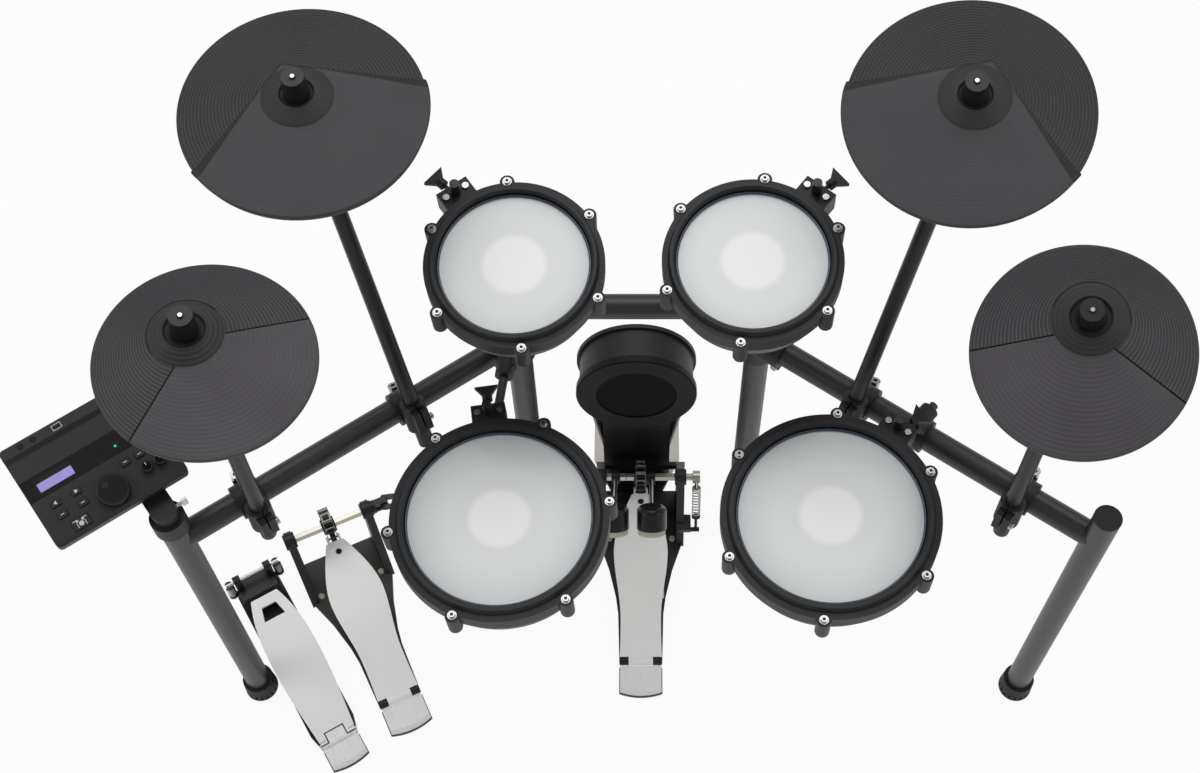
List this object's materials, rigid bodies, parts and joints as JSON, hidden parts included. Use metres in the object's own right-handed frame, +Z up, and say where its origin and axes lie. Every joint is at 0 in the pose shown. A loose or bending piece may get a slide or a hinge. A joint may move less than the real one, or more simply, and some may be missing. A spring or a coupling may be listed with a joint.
{
  "type": "electronic drum kit",
  "caption": "Electronic drum kit on a tube rack with mesh-head pads, rubber cymbal pads, kick tower, double bass pedal, hi-hat pedal and a sound module.",
  "frame": {"origin": "on the floor under the middle of the kit's bounding box", "axes": "+X to the player's right, +Y away from the player, +Z up"},
  "size_m": [1.4696, 0.8024, 1.0908],
  "materials": {
    "tube_black": "satin",
    "casting_black": "matte",
    "rubber_black": "matte",
    "bright_screw": "polished",
    "rod_bronze": "satin",
    "pad_shell": "matte",
    "hoop_rubber": "matte",
    "mesh_head": "semi-gloss mesh",
    "cymbal_rubber": "grooved matte",
    "tower_black": "satin",
    "pedal_plate": "brushed",
    "pedal_steel": "satin",
    "chain_steel": "satin",
    "spring_zinc": "zinc plated",
    "module_black": "matte",
    "screen_blue": "lit",
    "control_black": "matte"
  },
  "bodies": {
    "rack": {"left_side_frame": "tube_black", "right_side_frame": "tube_black", "rear_crossbar": "tube_black", "rear_legs": "tube_black", "corner_joints": "casting_black", "rubber_feet": "rubber_black", "rail_clamps": "casting_black", "clamp_bolts": "bright_screw", "pad_rods": "rod_bronze", "kick_tower": "tower_black", "kick_housing": "pad_shell", "kick_face": "rubber_black", "kick_pedal_base": "tower_black", "remote_pedal_base": "tower_black", "hi_hat_pedal_base": "tower_black", "pedal_chains": "chain_steel", "pedal_springs": "spring_zinc"},
    "snare_pad_body": {"snare_shell": "pad_shell", "snare_hoop": "hoop_rubber", "snare_head": "mesh_head", "snare_bolts": "bright_screw"},
    "floor_tom_pad_body": {"floor_tom_shell": "pad_shell", "floor_tom_hoop": "hoop_rubber", "floor_tom_head": "mesh_head", "floor_tom_bolts": "bright_screw"},
    "left_tom_pad_body": {"left_tom_shell": "pad_shell", "left_tom_hoop": "hoop_rubber", "left_tom_head": "mesh_head", "left_tom_bolts": "bright_screw"},
    "right_tom_pad_body": {"right_tom_shell": "pad_shell", "right_tom_hoop": "hoop_rubber", "right_tom_head": "mesh_head", "right_tom_bolts": "bright_screw"},
    "hi_hat_stand": {"hi_hat_arm": "rod_bronze"},
    "hi_hat_cymbal": {"hi_hat_pad": "cymbal_rubber"},
    "ride_stand": {"ride_arm": "rod_bronze"},
    "ride_cymbal": {"ride_pad": "cymbal_rubber"},
    "left_crash_stand": {"left_crash_arm": "rod_bronze"},
    "left_crash_cymbal": {"left_crash_pad": "cymbal_rubber"},
    "right_crash_stand": {"right_crash_arm": "rod_bronze"},
    "right_crash_cymbal": {"right_crash_pad": "cymbal_rubber"},
    "kick_footboard": {"kick_pedal_board": "pedal_plate"},
    "remote_footboard": {"remote_pedal_board": "pedal_plate"},
    "hi_hat_footboard": {"hi_hat_pedal_board": "pedal_plate"},
    "right_beater_axle": {"kick_pedal_axle": "pedal_steel"},
    "left_beater_axle": {"left_beater": "pedal_steel"},
    "remote_axle": {"remote_pedal_axle": "pedal_steel"},
    "drive_shaft_body": {"drive_shaft": "pedal_steel"},
    "module_body": {"module_case": "module_black", "module_screen": "screen_blue"},
    "dial_body": {"module_dial": "control_black"},
    "first_volume_knob_body": {"first_volume_knob": "control_black"},
    "second_volume_knob_body": {"second_volume_knob": "control_black"},
    "lower_left_button_body": {"lower_left_button": "control_black"},
    "upper_left_button_body": {"upper_left_button": "control_black"},
    "lower_right_button_body": {"lower_right_button": "control_black"},
    "upper_right_button_body": {"upper_right_button": "control_black"},
    "kit_button_body": {"kit_button": "control_black"},
    "first_select_button_body": {"first_select_button": "control_black"},
    "second_select_button_body": {"second_select_button": "control_black"}
  },
  "joints": [
    {"name": "snare_height", "type": "slide", "parent": "rack", "child": "snare_pad_body", "axis": [-0.0244, -0.0453, 0.9987], "range_m": [0, 0.02]},
    {"name": "floor_tom_height", "type": "slide", "parent": "rack", "child": "floor_tom_pad_body", "axis": [-0.0296, -0.0575, 0.9979], "range_m": [0, 0.02]},
    {"name": "left_tom_height", "type": "slide", "parent": "rack", "child": "left_tom_pad_body", "axis": [0.0069, -0.1668, 0.986], "range_m": [-0.06, 0.02]},
    {"name": "right_tom_height", "type": "slide", "parent": "rack", "child": "right_tom_pad_body", "axis": [-0.0346, -0.1374, 0.9899], "range_m": [-0.06, 0.02]},
    {"name": "hi_hat_height", "type": "slide", "parent": "rack", "child": "hi_hat_stand", "axis": [-0.0327, 0.0816, 0.9961], "range_m": [-0.05, 0.03]},
    {"name": "hi_hat_swing", "type": "hinge", "parent": "hi_hat_stand", "child": "hi_hat_cymbal", "pos_m": [-0.43265, -0.16278, 0.97028], "axis": [0.7347, 0.6773, -0.0379], "range_deg": [-6, 6], "stiffness_Nm_per_rad": 5, "springref_deg": -1.87},
    {"name": "ride_height", "type": "slide", "parent": "rack", "child": "ride_stand", "axis": [0.0626, 0.1263, 0.99], "range_m": [-0.05, 0.03]},
    {"name": "ride_swing", "type": "hinge", "parent": "ride_stand", "child": "ride_cymbal", "pos_m": [0.61322, -0.14546, 0.98102], "axis": [0.9351, -0.3401, 0.0996], "range_deg": [-6, 6], "stiffness_Nm_per_rad": 5, "springref_deg": -1.87},
    {"name": "left_crash_height", "type": "slide", "parent": "rack", "child": "left_crash_stand", "axis": [-0.2264, 0.4088, 0.8841], "range_m": [-0.05, 0.03]},
    {"name": "left_crash_swing", "type": "hinge", "parent": "left_crash_stand", "child": "left_crash_cymbal", "pos_m": [-0.32584, 0.1455, 1.02252], "axis": [0.8878, 0.46, 0.0103], "range_deg": [-6, 6], "stiffness_Nm_per_rad": 5, "springref_deg": -1.18},
    {"name": "right_crash_height", "type": "slide", "parent": "rack", "child": "right_crash_stand", "axis": [0.2409, 0.3781, 0.8939], "range_m": [-0.05, 0.03]},
    {"name": "right_crash_swing", "type": "hinge", "parent": "right_crash_stand", "child": "right_crash_cymbal", "pos_m": [0.49908, 0.13864, 1.03207], "axis": [0.8816, -0.472, 0.0064], "range_deg": [-6, 6], "stiffness_Nm_per_rad": 5, "springref_deg": -1.18},
    {"name": "right_beater_swing", "type": "hinge", "parent": "rack", "child": "right_beater_axle", "pos_m": [0.09328, 0.09724, 0.12], "axis": [1, 0, 0], "range_deg": [-49, 0], "stiffness_Nm_per_rad": 0.6, "springref_deg": 51.57, "deforming": ["pedal_chains", "pedal_springs"]},
    {"name": "left_beater_swing", "type": "hinge", "parent": "rack", "child": "left_beater_axle", "pos_m": [0.09328, 0.09724, 0.12], "axis": [1, 0, 0], "range_deg": [-49, 0], "stiffness_Nm_per_rad": 0.6, "springref_deg": 51.57},
    {"name": "kick_footboard_hinge", "type": "hinge", "parent": "rack", "child": "kick_footboard", "pos_m": [0.09328, -0.19076, 0.017], "axis": [1, 0, 0], "range_deg": [-6.66, 0]},
    {"name": "remote_footboard_hinge", "type": "hinge", "parent": "rack", "child": "remote_footboard", "pos_m": [-0.29973, -0.25271, 0.017], "axis": [0.9026, 0.4305, 0], "range_deg": [-6.66, 0]},
    {"name": "remote_axle_spin", "type": "hinge", "parent": "rack", "child": "remote_axle", "pos_m": [-0.42372, 0.00724, 0.12], "axis": [0.9026, 0.4305, 0], "range_deg": [-49.1, 0]},
    {"name": "drive_shaft_spin", "type": "hinge", "parent": "rack", "child": "drive_shaft_body", "pos_m": [-0.33436, 0.04986, 0.12], "axis": [0.9881, 0.1537, 0], "range_deg": [-49.1, 0]},
    {"name": "hi_hat_footboard_hinge", "type": "hinge", "parent": "rack", "child": "hi_hat_footboard", "pos_m": [-0.39261, -0.32046, 0.015], "axis": [0.8545, 0.5195, 0], "range_deg": [-6, 0], "stiffness_Nm_per_rad": 20, "springref_deg": 11.46},
    {"name": "module_tilt", "type": "hinge", "parent": "rack", "child": "module_body", "pos_m": [-0.55569, -0.19223, 0.6457], "axis": [0.8039, 0.5948, 0], "range_deg": [-15, 0]},
    {"name": "dial_turn", "type": "hinge", "parent": "module_body", "child": "dial_body", "pos_m": [-0.58632, -0.2164, 0.68995], "axis": [0.2034, -0.2749, 0.9397], "continuous": true},
    {"name": "first_volume_knob_turn", "type": "hinge", "parent": "module_body", "child": "first_volume_knob_body", "pos_m": [-0.54756, -0.18305, 0.69132], "axis": [0.2034, -0.2749, 0.9397], "range_deg": [-150, 150]},
    {"name": "second_volume_knob_turn", "type": "hinge", "parent": "module_body", "child": "second_volume_knob_body", "pos_m": [-0.53229, -0.17175, 0.69132], "axis": [0.2034, -0.2749, 0.9397], "range_deg": [-150, 150]},
    {"name": "lower_left_button_press", "type": "slide", "parent": "module_body", "child": "lower_left_button_body", "axis": [0.2034, -0.2749, 0.9397], "range_m": [-0.0012, 0], "stiffness_N_per_m": 300, "springref_m": 0.002},
    {"name": "upper_left_button_press", "type": "slide", "parent": "module_body", "child": "upper_left_button_body", "axis": [0.2034, -0.2749, 0.9397], "range_m": [-0.0012, 0], "stiffness_N_per_m": 300, "springref_m": 0.002},
    {"name": "lower_right_button_press", "type": "slide", "parent": "module_body", "child": "lower_right_button_body", "axis": [0.2034, -0.2749, 0.9397], "range_m": [-0.0012, 0], "stiffness_N_per_m": 300, "springref_m": 0.002},
    {"name": "upper_right_button_press", "type": "slide", "parent": "module_body", "child": "upper_right_button_body", "axis": [0.2034, -0.2749, 0.9397], "range_m": [-0.0012, 0], "stiffness_N_per_m": 300, "springref_m": 0.002},
    {"name": "kit_button_press", "type": "slide", "parent": "module_body", "child": "kit_button_body", "axis": [0.2034, -0.2749, 0.9397], "range_m": [-0.0012, 0], "stiffness_N_per_m": 300, "springref_m": 0.002},
    {"name": "first_select_button_press", "type": "slide", "parent": "module_body", "child": "first_select_button_body", "axis": [0.2034, -0.2749, 0.9397], "range_m": [-0.0012, 0], "stiffness_N_per_m": 300, "springref_m": 0.002},
    {"name": "second_select_button_press", "type": "slide", "parent": "module_body", "child": "second_select_button_body", "axis": [0.2034, -0.2749, 0.9397], "range_m": [-0.0012, 0], "stiffness_N_per_m": 300, "springref_m": 0.002}
  ],
  "couplings": [
    {"joint": "kick_footboard_hinge", "follows": "right_beater_swing", "ratio": 0.1338},
    {"joint": "remote_footboard_hinge", "follows": "left_beater_swing", "ratio": 0.1338},
    {"joint": "remote_axle_spin", "follows": "left_beater_swing", "ratio": 1},
    {"joint": "drive_shaft_spin", "follows": "left_beater_swing", "ratio": 1}
  ]
}
